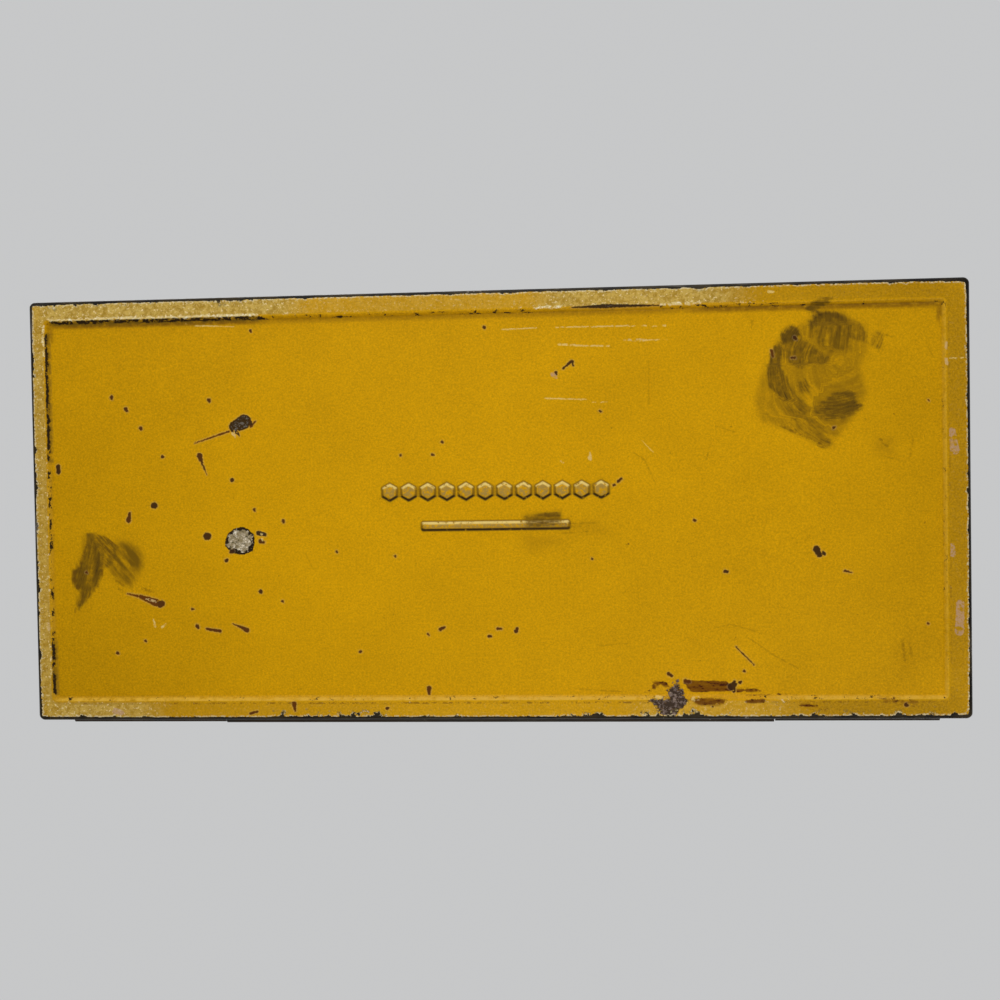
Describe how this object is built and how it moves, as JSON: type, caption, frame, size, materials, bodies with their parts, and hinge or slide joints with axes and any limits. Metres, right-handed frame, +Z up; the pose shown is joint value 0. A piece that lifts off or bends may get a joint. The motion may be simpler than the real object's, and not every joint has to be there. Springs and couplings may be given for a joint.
{
  "type": "coloured pencil tin",
  "caption": "Flat hinged tinplate box for a row of coloured pencils, with a slip-over lid on a rolled wire hinge and a pressed panel in its underside.",
  "frame": {"origin": "middle of the shut tin's outline, hinge knuckles included, on the surface it lies on", "axes": "+X along the tin's length, +Y towards the hinge, +Z up through the lid"},
  "size_m": [0.1916, 0.0894, 0.0125],
  "materials": {
    "tray_enamel": "worn gloss enamel on tinplate",
    "lid_enamel": "worn gloss enamel on tinplate, black skirt",
    "hinge_wire": "dull steel wire"
  },
  "bodies": {
    "tray": {"tray": "tray_enamel", "hinge_pin": "hinge_wire"},
    "lid": {"lid": "lid_enamel"}
  },
  "joints": [
    {"name": "lid_hinge", "type": "hinge", "parent": "tray", "child": "lid", "pos_m": [0, 0.04383, 0.008], "axis": [-1, 0, 0], "range_deg": [0, 180]}
  ]
}
